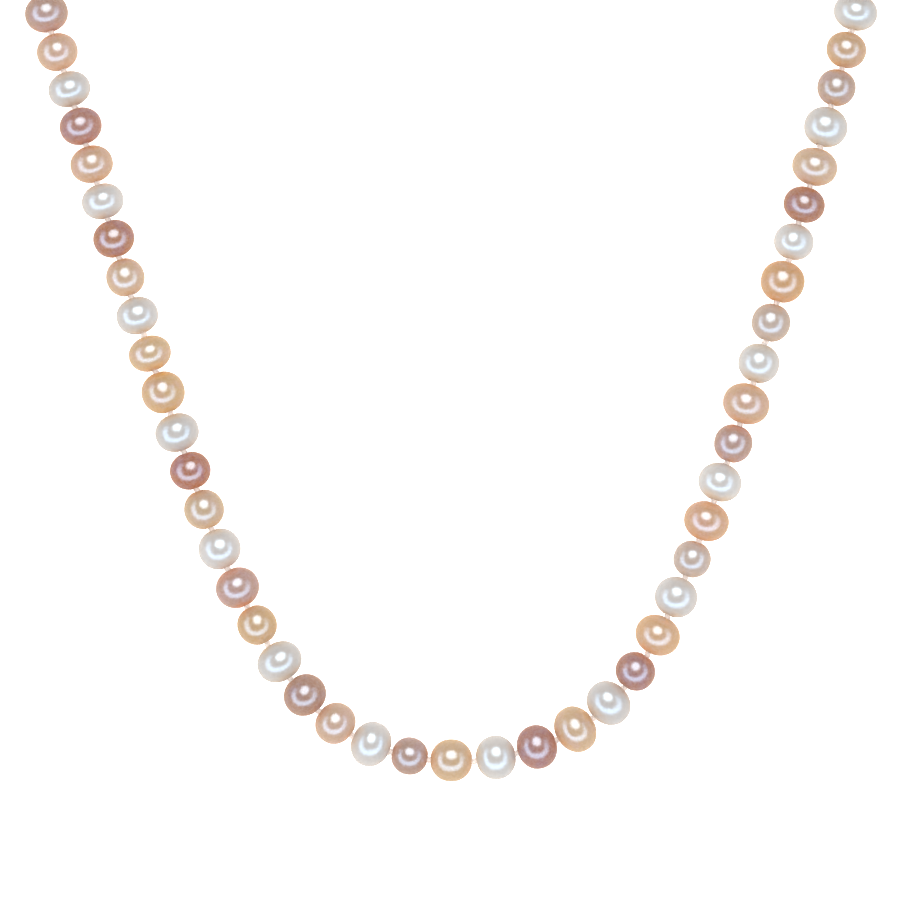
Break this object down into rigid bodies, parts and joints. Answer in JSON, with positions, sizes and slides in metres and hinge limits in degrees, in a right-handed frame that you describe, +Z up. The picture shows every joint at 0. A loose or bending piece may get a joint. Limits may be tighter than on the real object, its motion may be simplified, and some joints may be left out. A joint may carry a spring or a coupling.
{
  "type": "pearl necklace",
  "caption": "Hand-knotted strand of off-round freshwater pearls in white, peach, rose and mauve, lying flat in a closed loop with a small gilt box clasp.",
  "frame": {"origin": "middle of the strand's bounding box in x and y, on the table it lies on", "axes": "+Z up from the table; +Y from the front pearls to the clasp; +X to the wearer's left when worn, which is the right of the picture"},
  "size_m": [0.1304, 0.1638, 0.0073],
  "materials": {
    "white_pearl": "gloss",
    "peach_pearl": "gloss",
    "golden_pearl": "gloss",
    "rose_pearl": "gloss",
    "blush_pearl": "gloss",
    "mauve_pearl": "gloss",
    "silk": "satin",
    "gilt": "polished"
  },
  "bodies": {
    "front_right": {"pearl_right_01": "white_pearl", "pearl_right_02": "mauve_pearl", "pearl_right_03": "peach_pearl", "pearl_right_04": "white_pearl", "pearl_right_05": "mauve_pearl", "silk_front_right": "silk"},
    "front_left": {"pearl_left_01": "golden_pearl", "pearl_left_02": "rose_pearl", "pearl_left_03": "white_pearl", "pearl_left_04": "peach_pearl", "pearl_left_05": "mauve_pearl", "pearl_left_06": "white_pearl", "silk_front_left": "silk"},
    "side_right": {"pearl_right_06": "golden_pearl", "pearl_right_07": "white_pearl", "pearl_right_08": "blush_pearl", "pearl_right_09": "peach_pearl", "pearl_right_10": "white_pearl", "pearl_right_11": "rose_pearl", "pearl_right_12": "peach_pearl", "pearl_right_13": "white_pearl", "silk_side_right": "silk"},
    "side_left": {"pearl_left_07": "golden_pearl", "pearl_left_08": "rose_pearl", "pearl_left_09": "white_pearl", "pearl_left_10": "peach_pearl", "pearl_left_11": "mauve_pearl", "pearl_left_12": "white_pearl", "pearl_left_13": "peach_pearl", "pearl_left_14": "peach_pearl", "silk_side_left": "silk"},
    "upper_right": {"pearl_right_14": "blush_pearl", "pearl_right_15": "golden_pearl", "pearl_right_16": "white_pearl", "pearl_right_17": "mauve_pearl", "pearl_right_18": "peach_pearl", "pearl_right_19": "white_pearl", "pearl_right_20": "rose_pearl", "pearl_right_21": "peach_pearl", "pearl_right_22": "white_pearl", "silk_upper_right": "silk"},
    "upper_left": {"pearl_left_15": "white_pearl", "pearl_left_16": "peach_pearl", "pearl_left_17": "mauve_pearl", "pearl_left_18": "white_pearl", "pearl_left_19": "peach_pearl", "pearl_left_20": "mauve_pearl", "pearl_left_21": "white_pearl", "pearl_left_22": "peach_pearl", "pearl_left_23": "rose_pearl", "silk_upper_left": "silk"},
    "back_right": {"back_run_right": "white_pearl", "loop_right": "gilt", "clasp_box": "gilt"},
    "back_left": {"back_run_left": "white_pearl", "loop_left": "gilt", "clasp_tongue": "gilt"},
    "clasp_spring": {"clasp_spring": "gilt"}
  },
  "joints": [
    {"name": "open_at_clasp", "type": "hinge", "parent": "front_right", "child": "front_left", "pos_m": [0.00387, -0.07879, 0.0035], "axis": [0, 0, 1], "range_deg": [0, 38]},
    {"name": "bend_low_right", "type": "hinge", "parent": "front_right", "child": "side_right", "pos_m": [0.0298, -0.06267, 0.00345], "axis": [0.9997, -0.0226, -0.0009], "range_deg": [-35, 35]},
    {"name": "bend_low_left", "type": "hinge", "parent": "front_left", "child": "side_left", "pos_m": [-0.02719, -0.06138, 0.0035], "axis": [0.9997, -0.0226, -0.0009], "range_deg": [-35, 35]},
    {"name": "bend_mid_right", "type": "hinge", "parent": "side_right", "child": "upper_right", "pos_m": [0.04722, -0.01586, 0.00325], "axis": [1, -0.0079, -0.0021], "range_deg": [-35, 35]},
    {"name": "bend_mid_left", "type": "hinge", "parent": "side_left", "child": "upper_left", "pos_m": [-0.04601, -0.01513, 0.00345], "axis": [1, -0.0079, -0.0021], "range_deg": [-35, 35]},
    {"name": "bend_high_right", "type": "hinge", "parent": "upper_right", "child": "back_right", "pos_m": [0.06125, 0.03672, 0.00345], "axis": [1, 0.0048, 0], "range_deg": [-35, 35]},
    {"name": "bend_high_left", "type": "hinge", "parent": "upper_left", "child": "back_left", "pos_m": [-0.06147, 0.03613, 0.00345], "axis": [1, 0.0048, 0], "range_deg": [-35, 35]},
    {"name": "spring_press", "type": "hinge", "parent": "back_left", "child": "clasp_spring", "pos_m": [0.00716, 0.07891, 0.00285], "axis": [0, -1, 0], "range_deg": [0, 9], "stiffness_Nm_per_rad": 0.1}
  ],
  "couplings": [
    {"joint": "bend_low_left", "follows": "bend_low_right", "ratio": 1},
    {"joint": "bend_mid_left", "follows": "bend_mid_right", "ratio": 1},
    {"joint": "bend_high_left", "follows": "bend_high_right", "ratio": 1}
  ]
}
